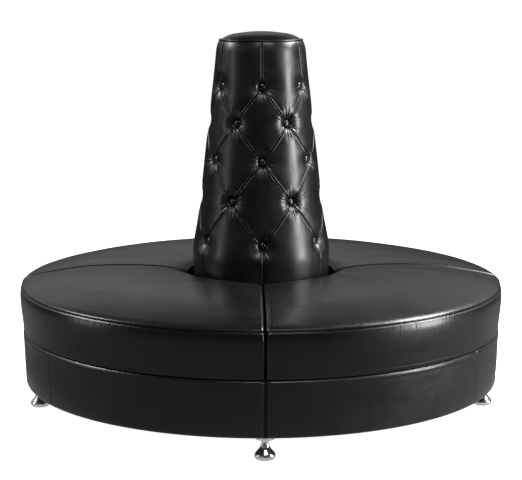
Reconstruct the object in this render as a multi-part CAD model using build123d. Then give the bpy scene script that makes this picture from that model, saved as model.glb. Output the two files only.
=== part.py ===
from build123d import *
import math
import os

# A round banquette: a ring seat in two half rings around a tufted column.
# Lengths are in millimetres, angles in degrees. Z is up, the floor is at zero
# and the column stands on the Z axis. The halves part on the plane Y = 0, and
# the front half is on the -Y side. The rear half is the front half turned
# round by half a turn, so every half ring piece is made once.

# Clearances
fit_gap = 0.3
pin_clearance = 0.5
parting_gap = 5
seat_gap = 5
overrun = 20
spare_angle = 1

# Sheet and board stock
leather_thickness = 2
board_thickness = 18
seat_board_thickness = 15
skin_thickness = 6

# Base ring
foot_height = 74
base_radius = 815
base_flare = 7
base_height = 180
edge_roll = 8
well_gap = 10
base_setback = 6
turn_in = 30
front_seam_gap = 3
end_cover_angle = 33
rib_count = 4
rib_hole_radius = 38

# Feet
foot_flange_radius = 31
foot_flange_edge = 2
foot_flange_cone = 5
foot_neck_radius = 12.3
foot_bell_radius = 33
foot_bell_height = 11
foot_sole_radius = 25
foot_neck_start = 40
foot_edge_inset = 41
foot_end_angle = 13
inner_foot_inset = 72
stud_radius = 5
stud_length = 22
nut_barrel_radius = 7
nut_barrel_length = 12
nut_flange_radius = 13
nut_flange_thickness = 1.6

# Pins that line up the halves
pin_radius = 8
pin_reach = 40
pin_nose = 6
pin_inner_inset = 122
pin_outer_inset = 115
socket_wall = 2

# Seat cushions
seat_low_overhang = 5
seat_rim_overhang = 11
boxing_height = 148
seat_crown = 54
boxing_bulge = 6.5
dome_shares = (
    (0.020, 0.16),
    (0.076, 0.37),
    (0.163, 0.58),
    (0.306, 0.83),
    (0.521, 1.0),
    (0.880, 0.94),
)
well_edge_share = 0.574
hem_width = 30
screw_radius = 2.5
screw_head_radius = 5.5
screw_head_height = 3
screw_reach = 10
screw_inset = 110
screw_angles = (22.5, 67.5)

# Column
column_foot_radius = 248
column_foot_lift = 91
column_height = 883
column_shoulder_radius = 147.5
column_rim_draw = 5.5
tuft_depth = 22
foam_thickness = 38
button_height_shares = (0.8324, 0.6942, 0.5515, 0.3986, 0.2378)
button_count = 6
front_angle = -90
post_width = 40
post_depth = 25
post_inset = 72.5
mid_former_share = 0.47
plinth_inset = 58
glide_radius = 20
glide_height = 12
glide_inset = 40

# Buttons and their ties
button_radius = 12.5
button_clearance = 0.6
button_back_rise = 4.2
button_edge = 0.8
button_crown = 5
tie_radius = 1.2
toggle_radius = 8
toggle_thickness = 3

# Cap
cap_inset = 5
cap_rise = 29
cap_board_thickness = 12
cap_lift_angle = 48
cap_dome_share = 0.5
cap_dome_rise_share = 0.82
welt_radius = 3

# Radial height of the leather between the buttons, as shares of the tuft
# depth: 0 is the bottom of a button's dimple and 1 the crest of a pillow.
crease_share = 1.2
dimple_share = 0.1
shoulder_share = 1.75
pillow_share = 1.4
diamond_shares = (
    (0, 0, crease_share, 0, 0),
    (0, dimple_share, shoulder_share, dimple_share, 0),
    (crease_share, shoulder_share, pillow_share, shoulder_share, crease_share),
    (0, dimple_share, shoulder_share, dimple_share, 0),
    (0, 0, crease_share, 0, 0),
)
end_panel_shares = (
    (0.9, 1.05, 1.15, 1.2, 1.2),
    (0.6, 1.0, 1.3, 1.4, 1.4),
    (0, dimple_share, shoulder_share, dimple_share, 0),
    (0, 0, crease_share, 0, 0),
)

# Sizes that follow from the ones above
seat_joint_height = foot_height + base_height
rim_seam_height = seat_joint_height + boxing_height
seat_low_radius = base_radius + seat_low_overhang
seat_rim_radius = base_radius + seat_rim_overhang
well_radius = column_foot_radius + well_gap
reach = seat_rim_radius + boxing_bulge + overrun
pin_height = foot_height + base_height / 2
pin_places = (well_radius + pin_inner_inset, base_radius - pin_outer_inset)
inner_foot_radius = well_radius + inner_foot_inset
column_foot_height = seat_joint_height + column_foot_lift
column_rim_height = column_foot_height + column_height
column_rim_radius = column_shoulder_radius - column_rim_draw
end_face = parting_gap / 2
frame_end = end_face + leather_thickness
inner_skin_radius = well_radius + base_setback
board_inner_radius = inner_skin_radius + skin_thickness + fit_gap
bottom_board_top = foot_height + board_thickness
deck_board_low = seat_joint_height - board_thickness
outer_foot_radius = base_radius - foot_edge_inset
cover_band_radius = base_radius - turn_in
column_slope = (column_foot_radius - column_shoulder_radius) / column_height
button_heights = [column_foot_height + share * column_height for share in button_height_shares]
mid_former_height = column_foot_height + mid_former_share * column_height
post_place = column_shoulder_radius - post_inset
plinth_radius = column_foot_radius - plinth_inset
glide_place = plinth_radius - glide_inset
cap_radius = column_rim_radius - cap_inset
button_step = 360 / button_count
drum_inner_radius = plinth_radius - skin_thickness
foot_stud_top = foot_height + stud_length


# Closed flat outline in (radius, height), from corner points.
def outline(*corners):
    return make_face(Polyline(*corners, close=True))


# Box outline in (radius, height) between two opposite corners.
def band(inner, outer, low, high):
    return outline((inner, low), (outer, low), (outer, high), (inner, high))


# Solid swept by an outline turned about the Z axis from a start angle.
def turned(section, start=0, sweep=360):
    return Rot(0, 0, start) * revolve(Plane.XZ * section, Axis.Z, revolution_arc=sweep)


# What lies behind a plane parallel to the parting plane, on the front side.
def set_back(shape, distance):
    return shape - Box(2 * reach, 2 * distance, 4 * reach)


# The same piece in the rear half.
def to_rear(shape):
    return Rot(0, 0, 180) * shape


# Upright cylinder with its lower end at a height.
def upright(radius, low, high, x=0, y=0):
    return Pos(x, y, (low + high) / 2) * Cylinder(radius, high - low)


# Point on the ring in plan.
def on_ring(radius, angle):
    return (radius * math.cos(math.radians(angle)), radius * math.sin(math.radians(angle)))


# Radius of the base's leather at a height.
def base_face(height):
    return base_radius + base_flare * (height - foot_height) / (seat_joint_height - foot_height)


# Section of the base, with the edges towards the room rolled.
def base_section(inset):
    low, high = foot_height + inset, seat_joint_height - inset
    face = outline(
        (well_radius, low),
        (base_face(low) - inset, low),
        (base_face(high) - inset, high),
        (well_radius, high),
    )
    return fillet(face.vertices().group_by(Axis.X)[1:], edge_roll - inset)


# Section of the leather round the base: the face and both turned-in hems.
def cover_section():
    zone = band(cover_band_radius, reach, 0, 2 * reach)
    return (base_section(0) - base_section(leather_thickness)) & zone


# Front half ring of a section that stops behind the leather of the end faces.
def front_ring(section):
    return set_back(turned(section, -180, 180), frame_end)


# Outer bent skin with the leather's rolled corners, from hem to hem.
def skin_section():
    inset = leather_thickness + fit_gap
    core = base_section(inset) & band(cover_band_radius, reach, foot_height + inset, seat_joint_height - inset)
    inner = outline(
        (0, 0),
        (base_face(0) - inset - skin_thickness, 0),
        (base_face(2 * reach) - inset - skin_thickness, 2 * reach),
        (0, 2 * reach),
    )
    return core - inner


# Board of the base between two heights, rebated where a hem lies on it.
def board_section(low, high):
    inset = leather_thickness + fit_gap + skin_thickness + fit_gap
    face = outline(
        (board_inner_radius, low),
        (base_face(low) - inset, low),
        (base_face(high) - inset, high),
        (board_inner_radius, high),
    )
    hem_zone = band(cover_band_radius - fit_gap, reach, 0, foot_height + leather_thickness)
    deck_zone = band(cover_band_radius - fit_gap, reach, seat_joint_height - leather_thickness, reach)
    return face - hem_zone - deck_zone


# Angles of the ribs, evenly between the parting faces of the front half.
def rib_angles():
    return [-180 * (place + 1) / (rib_count + 1) for place in range(rib_count)]


# Radial boards between the two skins, each with a lightening hole.
def ribs():
    inset = leather_thickness + fit_gap + skin_thickness + fit_gap
    low, high = bottom_board_top, deck_board_low
    face = outline(
        (board_inner_radius, low),
        (base_face(low) - inset, low),
        (base_face(high) - inset, high),
        (board_inner_radius, high),
    )
    middle = (board_inner_radius + base_radius - inset) / 2
    face -= Pos(middle, (low + high) / 2) * Circle(rib_hole_radius)
    rib = extrude(Plane.XZ * face, board_thickness / 2, both=True)
    return Compound([Rot(0, 0, angle) * rib for angle in rib_angles()])


# Places of the pins along X, on both sides of the column.
def pin_xs():
    return [side * place for side in (-1, 1) for place in pin_places]


# Cylinder along Y between two places.
def along_y(radius, x, low, high):
    return Pos(x, (low + high) / 2, pin_height) * Rot(90, 0, 0) * Cylinder(radius, high - low)


# Upright boards behind the end faces, on each side of the well.
def end_panels(hole_radius):
    inset = leather_thickness + fit_gap + skin_thickness + fit_gap
    low, high = bottom_board_top, deck_board_low
    sweep = turned(
        outline(
            (board_inner_radius, low),
            (base_face(low) - inset, low),
            (base_face(high) - inset, high),
            (board_inner_radius, high),
        ),
        -180,
        180,
    )
    slab = Pos(0, -frame_end - board_thickness / 2, 0) * Box(2 * reach, board_thickness, 4 * reach)
    panels = sweep & slab
    for x in pin_xs():
        panels -= along_y(hole_radius, x, -frame_end - board_thickness - overrun, 0)
    return panels


# Pins of the rear half: they pass the gap and enter the front half's sockets.
def pins():
    back = frame_end + board_thickness
    pieces = []
    for x in pin_xs():
        pin = along_y(pin_radius, x, -pin_reach, back)
        nose = pin.edges().filter_by(GeomType.CIRCLE).sort_by(Axis.Y)[0]
        pieces.append(chamfer(nose, pin_nose / 2))
    return Compound(pieces)


# Metal bushes in the front half's end panels.
def sockets():
    bore = pin_radius + pin_clearance
    pieces = []
    for x in pin_xs():
        bush = along_y(bore + socket_wall, x, -frame_end - board_thickness, -frame_end)
        pieces.append(bush - along_y(bore, x, -reach, reach))
    return Compound(pieces)


# Long leather panel of the base, from the front seam to the end cover.
def long_cover(side):
    sweep = 90 - end_cover_angle - math.degrees(fit_gap / base_radius)
    start = front_angle if side > 0 else front_angle - sweep
    return turned(cover_section(), start, sweep) - Box(front_seam_gap, 2 * reach, 4 * reach)


# Leather that wraps the outer corner and covers the end face.
def end_cover(side, hole_radius):
    start = -end_cover_angle if side > 0 else -180
    cut_start, cut_sweep = start - spare_angle, end_cover_angle + 2 * spare_angle
    whole = set_back(turned(base_section(0), start, end_cover_angle), end_face)
    inner = set_back(turned(base_section(leather_thickness), cut_start, cut_sweep), frame_end)
    middle = set_back(turned(band(0, cover_band_radius, 0, reach), cut_start, cut_sweep), frame_end)
    inner_end = turned(band(0, board_inner_radius - skin_thickness, 0, reach))
    piece = whole - inner - middle - inner_end
    for x in pin_xs():
        piece -= along_y(hole_radius, x, -reach / 2, 0)
    return piece


# Angles of the feet under the front half, as (radius, angle) pairs.
def foot_places():
    ribs_apart = 180 / (rib_count + 1)
    outer = [(outer_foot_radius, angle) for angle in (front_angle, -foot_end_angle, foot_end_angle - 180)]
    inner = [(inner_foot_radius, front_angle + side * ribs_apart) for side in (-1, 1)]
    return outer + inner


# Chrome foot: rounded sole, bell, neck, thin flange, and the stud on top.
def foot():
    bell = Bezier(
        (foot_bell_radius, foot_bell_height),
        ((foot_bell_radius + foot_neck_radius) / 2, foot_bell_height + foot_flange_cone),
        (foot_neck_radius, foot_neck_start / 2),
        (foot_neck_radius, foot_neck_start),
    )
    sole = ThreePointArc(
        (foot_sole_radius, 0),
        (foot_bell_radius - foot_flange_edge, foot_bell_height / 3),
        (foot_bell_radius, foot_bell_height),
    )
    rest = Polyline(
        (foot_neck_radius, foot_neck_start),
        (foot_neck_radius, foot_height - foot_flange_edge - 2 * foot_flange_cone),
        (foot_neck_radius + foot_flange_cone, foot_height - foot_flange_edge - foot_flange_cone),
        (foot_flange_radius, foot_height - foot_flange_edge),
        (foot_flange_radius, foot_height),
        (stud_radius, foot_height),
        (stud_radius, foot_stud_top),
        (0, foot_stud_top),
        (0, 0),
        (foot_sole_radius, 0),
    )
    return turned(make_face([sole, bell, rest]))


# Tee nut: a barrel in the bottom board and a flange on top of it.
def tee_nut():
    low = bottom_board_top - nut_barrel_length
    top = bottom_board_top + nut_flange_thickness
    barrel = upright(nut_barrel_radius, low, bottom_board_top)
    flange = upright(nut_flange_radius, bottom_board_top, top)
    return barrel + flange - upright(stud_radius + fit_gap, 0, reach)


# Places of the seat screws in one quarter, as points in plan.
def screw_places():
    radii = (well_radius + screw_inset, seat_rim_radius - screw_inset)
    return [on_ring(radius, -angle) for radius in radii for angle in screw_angles]


# Screw from below through the deck board into the seat board.
def seat_screws():
    pieces = []
    for x, y in screw_places():
        shank = upright(screw_radius, deck_board_low, seat_joint_height + screw_reach, x, y)
        head = upright(screw_head_radius, deck_board_low - screw_head_height, deck_board_low, x, y)
        pieces.append(shank + head)
    return pieces


# Both quarters of the front half, from what one quarter holds.
def both_quarters(pieces):
    return list(pieces) + [Rot(0, 0, -90) * piece for piece in pieces]


# Section of a seat: rolled lower edge, bulged boxing, rim seam and dome.
def seat_section(inset):
    inner, low = well_radius + inset, seat_joint_height + inset
    foot = (seat_low_radius - inset, low)
    rim = (seat_rim_radius - inset, rim_seam_height)
    width, crown = rim[0] - inner, seat_crown - inset
    dome = [(rim[0] - across * width, rim[1] + up * crown) for across, up in dome_shares]
    brow = dome[-1]
    well_edge = (inner, rim[1] + well_edge_share * crown)
    bulge = ((foot[0] + rim[0]) / 2 + boxing_bulge, (foot[1] + rim[1]) / 2)
    face = make_face([
        Polyline(well_edge, (inner, low), foot),
        ThreePointArc(foot, bulge, rim),
        Spline(rim, *dome),
        Bezier(brow, (inner, brow[1]), well_edge),
    ])
    return fillet(face.vertices().group_by(Axis.Y)[0], edge_roll - inset)


# Quarter seat in front on the right.
def seat_block(inset):
    gap = seat_gap / 2 + inset
    block = set_back(turned(seat_section(inset), -90, 90), gap)
    return block - Box(2 * gap, 2 * reach, 4 * reach)


# Board, foam and leather of one quarter seat.
def seat_pieces():
    outer = seat_block(0)
    lining = seat_block(leather_thickness)
    core = seat_block(leather_thickness + fit_gap)
    board_top = seat_joint_height + leather_thickness + seat_board_thickness
    opening = turned(
        band(well_radius + hem_width, seat_low_radius - hem_width, seat_joint_height - overrun, board_top),
        -90,
        90,
    )
    opening = set_back(opening, hem_width) - Box(2 * hem_width, 2 * reach, 4 * reach)
    low = seat_joint_height + leather_thickness
    slab = Pos(0, 0, low + seat_board_thickness / 2) * Box(2 * reach, 2 * reach, seat_board_thickness)
    board = core & slab
    foam = core - slab
    cover = outer - lining - opening
    for x, y in screw_places():
        board -= upright(screw_radius + fit_gap, seat_joint_height, seat_joint_height + screw_reach + fit_gap, x, y)
    return board, foam, cover


# Radius of the column's pillows at a height.
def column_face(height):
    return column_foot_radius - column_slope * (height - column_foot_height)


# Radius shares that put the five control points of an arc on its circle.
def arc_shares(span):
    handle = 4 / 3 * math.tan(math.radians(span) / 4)
    near = 1 / math.cos(math.radians(span) / 4)
    middle = math.hypot(1, handle) * math.cos(math.radians(span) / 2 - math.atan(handle))
    return (1, near, middle, near, 1)


# One leather panel between four corners, each an (angle, height) pair. The
# corners run round the panel, and the shares give the padding between them.
def panel(corners, shares, inset):
    (turn_a, high_a), (turn_b, high_b), (turn_c, high_c), (turn_d, high_d) = corners
    across, down = arc_shares(turn_b - turn_a), arc_shares(turn_d - turn_a)
    rows = []
    for j, row in enumerate(shares):
        t = j / 4
        points = []
        for i, share in enumerate(row):
            s = i / 4
            turn = turn_a + s * (turn_b - turn_a) + t * (turn_d - turn_a)
            upper = high_a + s * (high_b - high_a)
            lower = high_d + s * (high_c - high_d)
            height = upper + t * (lower - upper)
            radius = column_face(height) - inset - tuft_depth * (1 - share)
            radius *= across[i] * down[j]
            points.append((*on_ring(radius, turn), height))
        rows.append(points)
    return Face.make_bezier_surface(rows)


# Share of the padding at the top rim, where the cone is drawn in.
def rim_share():
    return 1 - (column_shoulder_radius - column_rim_radius) / tuft_depth


# Panels between an end rim and the two rows of buttons nearest to it.
def end_panel_faces(rim_height, share, near_row, far_row, inset):
    shares = ((share,) * 5,) + end_panel_shares
    faces = []
    for place in range(button_count):
        turn = front_angle + place * button_step
        for half in (-button_step / 2, button_step / 2):
            corners = (
                (turn, rim_height),
                (turn + half, rim_height),
                (turn + half, far_row),
                (turn, near_row),
            )
            faces.append(panel(corners, shares, inset))
    return faces


# All panels of the tufted leather at a depth below its face.
def tufted_faces(inset):
    half = button_step / 2
    faces = end_panel_faces(column_rim_height, rim_share(), *button_heights[:2], inset)
    faces += end_panel_faces(column_foot_height, 1, *button_heights[:-3:-1], inset)
    for row in range(len(button_heights) - 2):
        top, middle, bottom = button_heights[row : row + 3]
        for place in range(button_count):
            turn = front_angle + place * button_step + (half if row % 2 else 0)
            corners = ((turn, top), (turn + half, middle), (turn, bottom), (turn - half, middle))
            faces.append(panel(corners, diamond_shares, inset))
    return faces


# Rim of the tufted leather as one closed wire.
def rim_wire(height, radius):
    half = button_step / 2
    edges = []
    for place in range(2 * button_count):
        start = front_angle + place * half
        turns = [start + half * i / 4 for i in range(5)]
        points = [
            (*on_ring(radius * share, turn), height)
            for turn, share in zip(turns, arc_shares(half))
        ]
        edges.append(Edge.make_bezier(*points))
    return Wire(edges)


# Solid between two depths of the tufted leather.
def tufted_shell(outer, inner):
    faces = tufted_faces(outer) + tufted_faces(inner)
    for height, radius in ((column_rim_height, column_rim_radius), (column_foot_height, column_foot_radius)):
        faces.append(Face(rim_wire(height, radius - outer), [rim_wire(height, radius - inner)]))
    return Solid(Shell(faces))


# Solid inside one depth of the tufted leather.
def tufted_core(depth):
    faces = tufted_faces(depth)
    for height, radius in ((column_rim_height, column_rim_radius), (column_foot_height, column_foot_radius)):
        faces.append(Face(rim_wire(height, radius - depth)))
    return Solid(Shell(faces))


# Planes at the bottoms of the dimples, looking out along the cone's normal.
def button_planes():
    planes = []
    for row, height in enumerate(button_heights):
        for place in range(button_count):
            turn = front_angle + (place + (row % 2) / 2) * button_step
            x, y = on_ring(1, turn)
            spot = on_ring(column_face(height) - tuft_depth, turn)
            side = (-y, x, 0)
            planes.append((height, Plane(origin=(*spot, height), x_dir=side, z_dir=(x, y, column_slope))))
    return planes


# Arc from a radius to the axis that crosses the axis at a right angle.
def crown_arc(radius, low, top):
    rise = top - low
    bend = (radius**2 + rise**2) / (2 * rise)
    half = math.atan2(radius, bend - rise) / 2
    middle = (bend * math.sin(half), top - bend * (1 - math.cos(half)))
    return ThreePointArc((radius, low), middle, (0, top))


# Covered button: a lens whose shallow back follows the dimple.
def button():
    shoulder = button_clearance + button_back_rise
    edge = shoulder + button_edge
    top = edge + button_crown
    back = mirror(crown_arc(button_radius, -shoulder, -button_clearance), Plane.XZ)
    front = crown_arc(button_radius, edge, top)
    sides = [Line((button_radius, shoulder), (button_radius, edge)), Line((0, top), (0, button_clearance))]
    return turned(make_face([back, front, *sides]))


# Twine from a button through the padding to a toggle inside the shell.
def tie(height):
    lean = math.cos(math.atan(column_slope))
    stack = (leather_thickness + 3 * fit_gap + foam_thickness + skin_thickness - tuft_depth) * lean
    sag = toggle_radius**2 / 2 / (column_face(height) - foam_thickness - skin_thickness - leather_thickness)
    low = -stack - sag
    twine = upright(tie_radius, low, button_clearance)
    return twine + upright(toggle_radius, low - toggle_thickness, low)


# Section of a solid cone parallel to the column's face, at a depth below it.
def cone_section(depth, low, high):
    return outline((0, low), (column_face(low) - depth, low), (column_face(high) - depth, high), (0, high))


# Section of the cap at an inset: straight side, then a dome.
def cap_section(inset):
    side, low = cap_radius - inset, column_rim_height
    eaves, top = low + welt_radius, low + welt_radius + cap_rise - inset
    lift = math.radians(cap_lift_angle)
    knee = (side * cap_dome_share, eaves + (top - eaves) * cap_dome_rise_share)
    dome = Spline((side, eaves), knee, (0, top), tangents=[(-math.cos(lift), math.sin(lift)), (-1, 0)])
    return make_face([Polyline((0, top), (0, low), (side, low), (side, eaves)), dome])


# The pieces of the column, by name.
def column_pieces():
    shell_outer = leather_thickness + fit_gap + foam_thickness
    shell_inner = shell_outer + skin_thickness
    low, high = column_foot_height, column_rim_height
    foam_core = turned(cone_section(shell_outer - fit_gap, low - overrun, high + overrun))
    cover = tufted_shell(0, leather_thickness)
    foam = tufted_core(leather_thickness + fit_gap) - foam_core
    shell = turned(cone_section(shell_outer, low, high) - cone_section(shell_inner, low, high))
    posts = []
    notches = []
    top_former_low = high - board_thickness
    for x, y in (on_ring(post_place, 45 + 90 * place) for place in range(4)):
        turn = math.degrees(math.atan2(y, x))
        post = Pos(x, y, (low + top_former_low) / 2) * Rot(0, 0, turn) * Box(
            post_depth, post_width, top_former_low - low
        )
        notch = Pos(x, y, mid_former_height) * Rot(0, 0, turn) * Box(
            post_depth + 2 * fit_gap, post_width + 2 * fit_gap, 4 * board_thickness
        )
        posts.append(post)
        notches.append(notch)
    bottom = upright(column_foot_radius - leather_thickness, low - board_thickness, low)
    middle_top = mid_former_height + board_thickness
    middle = turned(cone_section(shell_inner + fit_gap, mid_former_height, middle_top))
    top = turned(cone_section(shell_inner + fit_gap, top_former_low, high))
    for notch in notches:
        middle -= notch
    drum_top = low - board_thickness
    drum = upright(plinth_radius, glide_height, drum_top) - upright(drum_inner_radius, 0, reach)
    board = upright(drum_inner_radius - fit_gap, glide_height, glide_height + board_thickness)
    glides = [
        upright(glide_radius, 0, glide_height, *on_ring(glide_place, 45 + 90 * place))
        for place in range(4)
    ]
    buttons, ties = [], []
    for height, plane in button_planes():
        hole = plane * upright(tie_radius + fit_gap, -2 * foam_thickness, tuft_depth)
        cover -= hole
        foam -= hole
        shell -= hole
        buttons.append(plane * button())
        ties.append(plane * tie(height))
    board_top = high + cap_board_thickness
    cap_cover = turned(cap_section(0) - cap_section(leather_thickness))
    cap_core = cap_section(leather_thickness + fit_gap)
    cap_slab = band(0, reach, high, board_top)
    welt = Pos(0, 0, high + fit_gap + welt_radius) * Torus(cap_radius + fit_gap + welt_radius, welt_radius)
    return {
        "column_plinth_board": board,
        "column_plinth_drum": drum,
        "column_glides": Compound(glides),
        "column_formers": Compound([bottom, middle, top]),
        "column_posts": Compound(posts),
        "column_shell": shell,
        "column_foam": foam,
        "column_cover": cover,
        "tufting_buttons": Compound(buttons),
        "button_ties": Compound(ties),
        "cap_board": turned(cap_core & cap_slab),
        "cap_foam": turned(cap_core - cap_slab),
        "cap_cover": cap_cover,
        "cap_welt": welt,
    }


# The pieces of a half ring, by name, in the front half's place.
def half_pieces(is_front):
    socket_radius = pin_radius + pin_clearance + socket_wall + fit_gap
    panel_hole = socket_radius if is_front else pin_radius + fit_gap
    bottom = front_ring(board_section(foot_height, bottom_board_top))
    deck = front_ring(board_section(deck_board_low, seat_joint_height))
    feet = [Pos(*on_ring(*place)) * foot() for place in foot_places()]
    nuts = []
    for place in foot_places():
        x, y = on_ring(*place)
        bottom -= upright(nut_barrel_radius + fit_gap, 0, reach, x, y)
        nuts.append(Pos(x, y) * tee_nut())
    screws = both_quarters(seat_screws())
    for screw in both_quarters([Pos(x, y) for x, y in screw_places()]):
        deck -= screw * upright(screw_radius + fit_gap, 0, reach)
    end_hole = pin_radius + pin_clearance
    pieces = {
        "bottom_board": bottom,
        "deck_board": deck,
        "outer_skin": front_ring(skin_section()),
        "inner_skin": front_ring(
            band(inner_skin_radius, inner_skin_radius + skin_thickness, foot_height, seat_joint_height)
        ),
        "ribs": ribs(),
        "end_panels": end_panels(panel_hole),
        "base_cover_left": long_cover(-1),
        "base_cover_right": long_cover(1),
        "end_covers": Compound([end_cover(side, end_hole) for side in (-1, 1)]),
        "tee_nuts": Compound(nuts),
        "seat_screws": Compound(screws),
    }
    for number, piece in enumerate(feet, 1):
        pieces[f"foot_{number}"] = piece
    return pieces


# Every piece of the banquette, by name.
def all_pieces():
    pieces = {f"front_{name}": piece for name, piece in half_pieces(True).items()}
    pieces["front_pin_sockets"] = sockets()
    for name, piece in half_pieces(False).items():
        pieces[f"rear_{name}"] = to_rear(piece)
    pieces["rear_pins"] = pins()
    quarters = ("front_right", "rear_right", "rear_left", "front_left")
    board, foam, cover = seat_pieces()
    for turns, quarter in enumerate(quarters):
        turn = Rot(0, 0, 90 * turns)
        pieces[f"{quarter}_seat_board"] = turn * board
        pieces[f"{quarter}_seat_foam"] = turn * foam
        pieces[f"{quarter}_seat_cover"] = turn * cover
    pieces.update(column_pieces())
    return pieces


os.makedirs("parts", exist_ok=True)
for name, piece in all_pieces().items():
    export_step(piece, f"parts/{name}.step")
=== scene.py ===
import bmesh
import bpy
import math
import numpy as np
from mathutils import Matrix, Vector


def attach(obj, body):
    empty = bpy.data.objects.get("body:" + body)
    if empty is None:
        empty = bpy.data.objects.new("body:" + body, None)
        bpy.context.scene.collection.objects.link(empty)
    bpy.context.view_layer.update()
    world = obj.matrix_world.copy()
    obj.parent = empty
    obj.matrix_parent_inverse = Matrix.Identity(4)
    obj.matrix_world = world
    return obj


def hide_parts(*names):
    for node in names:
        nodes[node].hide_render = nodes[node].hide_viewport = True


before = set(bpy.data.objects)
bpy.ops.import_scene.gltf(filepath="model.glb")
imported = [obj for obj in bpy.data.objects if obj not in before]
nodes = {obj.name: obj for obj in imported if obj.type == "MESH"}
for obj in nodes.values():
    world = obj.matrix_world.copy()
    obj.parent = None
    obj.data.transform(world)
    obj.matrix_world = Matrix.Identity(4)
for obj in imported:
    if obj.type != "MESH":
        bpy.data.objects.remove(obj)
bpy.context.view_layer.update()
scene = bpy.context.scene
mm = 0.001

# Camera: from the front, a little above the cap, looking down on the seats
cameraLook = dict(lens=103.45, sensor=36, distance=5.134, height=1.3917, azimuth=-0.9, pitch=-9.40, clipEnd=3000)


def makeCamera(look):
    # stands at distance x (sin azimuth, -cos azimuth) and looks at the column's axis, tipped by the pitch
    data = bpy.data.cameras.new("camera")
    data.lens, data.sensor_width, data.clip_end = look["lens"], look["sensor"], look["clipEnd"]
    camera = bpy.data.objects.new("camera", data)
    turn, tip = math.radians(look["azimuth"]), math.radians(look["pitch"])
    camera.location = (math.sin(turn) * look["distance"], -math.cos(turn) * look["distance"], look["height"])
    aim = Vector((-math.sin(turn) * math.cos(tip), math.cos(turn) * math.cos(tip), math.sin(tip)))
    camera.rotation_mode = "QUATERNION"
    camera.rotation_quaternion = aim.to_track_quat("-Z", "Y")
    scene.collection.objects.link(camera)
    scene.camera = camera


makeCamera(cameraLook)
scene.view_settings.view_transform = "Standard"
print("camera set")

# Studio: a wide pale floor, a grey room that darkens overhead, and six soft boxes
studio = dict(
    floorSize=900, floorWhite=0.9, floorGlow=0.965, backdrop=0.985,      # as the camera sees them
    mirroredTones=(0.23, 0.13), mirroredReach=0.8,      # the floor in reflections, from the left reach to the right one
    pool=(0.90, 1.06), poolGlow=0.40,                   # in reflections it glows within one radius and not past the other
    leftRoom=((0.0, 0.05), (0.14, 0.20), (0.30, 0.58), (0.45, 0.56), (0.62, 0.08), (1.0, 0.02)),   # (height share, tone)
    rightRoom=((0.0, 0.01), (0.14, 0.04), (0.21, 0.22), (0.30, 0.50), (0.42, 0.44), (0.60, 0.06), (1.0, 0.02)),
    sideBlend=0.12, front=0.26,                         # the room's two sides run together, and its front is dimmer
    boxes=(
        dict(name="rightBox", place=(3.05, -1.1, 1.03), aim=(0, 0, 0.9), size=(0.9, 1.94), power=120),
        dict(name="leftBox", place=(-3.1, -0.75, 1.3), aim=(0, 0, 0.7), size=(0.6, 1.9), power=7),
        dict(name="leftLowBox", place=(-3.1, -0.75, 0.4), aim=(0, 0, 0.4), size=(0.6, 0.7), power=3),
        dict(name="rightRimBox", place=(2.25, 0.25, 2.7), aim=(0.47, -0.67, 0.43), size=(1.9, 0.9), power=195),
        dict(name="leftRimBox", place=(-2.6, 0.35, 2.5), aim=(-0.3, -0.4, 0.4), size=(1.0, 0.9), power=56),
        dict(name="frontTopBox", place=(0.5, -2.3, 3.5), aim=(0, 0, 0.8), size=(1.6, 0.8), power=44),
    ),
)


def nodeTree(owner):
    # empties the owner's node tree and returns a helper that adds a node to it
    owner.use_nodes = True
    tree = owner.node_tree
    tree.nodes.clear()

    def add(kind, sockets=None, **settings):
        # sockets maps an input's name or number to a value, a node (its first output) or one output of a node
        node = tree.nodes.new(kind)
        for key, value in settings.items():
            setattr(node, key, value)
        for key, value in (sockets or {}).items():
            if isinstance(value, bpy.types.Node):
                value = value.outputs[0]
            if isinstance(value, bpy.types.NodeSocket):
                tree.links.new(value, node.inputs[key])
            else:
                node.inputs[key].default_value = value
        return node

    return add


def rescale(add, value, low, high, start=0.0, end=1.0):
    # takes low..high to start..end, straight between and held outside
    sockets = {"Value": value, "From Min": low, "From Max": high, "To Min": start, "To Max": end}
    return add("ShaderNodeMapRange", sockets)


def mixTones(add, share, first, second):
    # between two colours, each one a tuple of three or another node's output
    first, second = ((*tone, 1) if isinstance(tone, tuple) else tone for tone in (first, second))
    return add("ShaderNodeMix", {0: share, 6: first, 7: second}, data_type="RGBA").outputs[2]


def seenAndMirrored(add, kind, seen, mirrored):
    # one shader where the camera looks straight at it, the other where the object mirrors it
    direct = add("ShaderNodeLightPath").outputs["Is Camera Ray"]
    add(kind, {0: add("ShaderNodeMixShader", {0: direct, 1: mirrored, 2: seen})})


def makeRoom(look):
    # the world: tone by height on each side of the room, and dimmer towards the front
    world = bpy.data.worlds.new("room")
    scene.world = world
    add = nodeTree(world)
    toward = add("ShaderNodeSeparateXYZ", {0: add("ShaderNodeTexCoord").outputs["Generated"]}).outputs
    sides = []
    for room in (look["leftRoom"], look["rightRoom"]):
        ramp = add("ShaderNodeValToRGB", {0: toward["Z"]})
        for index, (height, tone) in enumerate(room):
            stop = ramp.color_ramp.elements[index] if index < 2 else ramp.color_ramp.elements.new(height)
            stop.position, stop.color = height, (tone, tone, tone, 1)
        sides.append(ramp)
    aside = rescale(add, toward["X"], -look["sideBlend"], look["sideBlend"])
    behind = rescale(add, toward["Y"], -1.0, 1.0, look["front"])
    lit = add("ShaderNodeBackground", {"Color": mixTones(add, aside, *sides), "Strength": behind})
    seen = add("ShaderNodeBackground", {"Color": (*[look["backdrop"]] * 3, 1)})
    seenAndMirrored(add, "ShaderNodeOutputWorld", seen, lit)


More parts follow.
